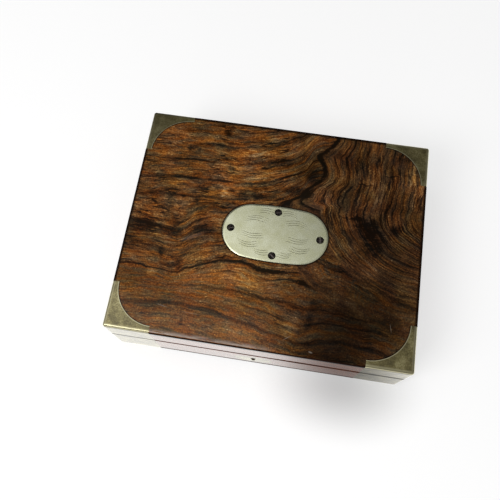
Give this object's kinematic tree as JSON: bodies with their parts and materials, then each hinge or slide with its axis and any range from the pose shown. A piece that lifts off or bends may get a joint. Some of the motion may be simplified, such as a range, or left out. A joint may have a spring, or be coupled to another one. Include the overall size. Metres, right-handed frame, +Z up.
{
  "type": "drawing instrument case",
  "caption": "Low rectangular hardwood case with a hinged lid, inlaid metal corners, an oval plate, a box lock and a lined lift-out tray for drawing instruments.",
  "frame": {"origin": "centre of the flat underside", "axes": "+X right along the long side, +Y from the front with the keyhole towards the hinges, +Z up"},
  "size_m": [0.222, 0.1815, 0.0606],
  "materials": {
    "rosewood": "french polished, gloss",
    "bottom_board": "stained, satin",
    "tray_mahogany": "waxed, satin",
    "nickel_silver": "tarnished, satin",
    "blued_steel": "darkened",
    "spring_steel": "tempered",
    "brass_fittings": "lacquered",
    "velvet": "pile",
    "silk": "satin weave",
    "silk_ribbon": "satin weave",
    "card": "matt card"
  },
  "bodies": {
    "base": {"base_bottom_board": "bottom_board", "base_front_wall": "rosewood", "base_back_wall": "rosewood", "base_left_wall": "rosewood", "base_right_wall": "rosewood", "base_bracket_front_left": "nickel_silver", "base_bracket_front_right": "nickel_silver", "base_bracket_back_left": "nickel_silver", "base_bracket_back_right": "nickel_silver", "escutcheon": "nickel_silver", "lock_plate": "brass_fittings", "lock_cap": "brass_fittings", "lock_pillars": "brass_fittings", "lock_drill_pin": "brass_fittings", "lock_plate_screws": "brass_fittings", "hinge_lower_leaf_left": "brass_fittings", "hinge_lower_leaf_right": "brass_fittings", "hinge_lower_screws": "brass_fittings", "hinge_pin_left": "brass_fittings", "hinge_pin_right": "brass_fittings", "tray_bearer_front": "velvet", "tray_bearer_right": "velvet", "tray_bearer_back": "velvet", "tray_bearer_left": "velvet", "well_floor_lining": "velvet", "tray_bottom": "tray_mahogany", "tray_front_wall": "tray_mahogany", "tray_right_wall": "tray_mahogany", "tray_back_wall": "tray_mahogany", "tray_left_wall": "tray_mahogany", "tray_floor_lining": "velvet", "tray_partitions": "velvet", "tray_rest_blocks": "velvet", "tray_ribbon_left": "silk_ribbon", "tray_ribbon_right": "silk_ribbon"},
    "lid": {"lid_top_board": "rosewood", "lid_front_wall": "rosewood", "lid_back_wall": "rosewood", "lid_left_wall": "rosewood", "lid_right_wall": "rosewood", "lid_bracket_front_left": "nickel_silver", "lid_bracket_front_right": "nickel_silver", "lid_bracket_back_left": "nickel_silver", "lid_bracket_back_right": "nickel_silver", "nameplate": "nickel_silver", "nameplate_screws": "blued_steel", "link_plate": "brass_fittings", "link_plate_screws": "brass_fittings", "hinge_upper_leaf_left": "brass_fittings", "hinge_upper_leaf_right": "brass_fittings", "hinge_upper_screws": "brass_fittings", "lid_pad_board": "card", "lid_pad": "silk"},
    "lock_bolt_slider": {"lock_bolt": "brass_fittings", "lock_spring": "spring_steel"}
  },
  "joints": [
    {"name": "lid_hinge", "type": "hinge", "parent": "base", "child": "lid", "pos_m": [0, 0.0896, 0.0334], "axis": [-1, 0, 0], "range_deg": [0, 95]},
    {"name": "bolt_slide", "type": "slide", "parent": "base", "child": "lock_bolt_slider", "axis": [1, 0, 0], "range_m": [0, 0.004]}
  ]
}
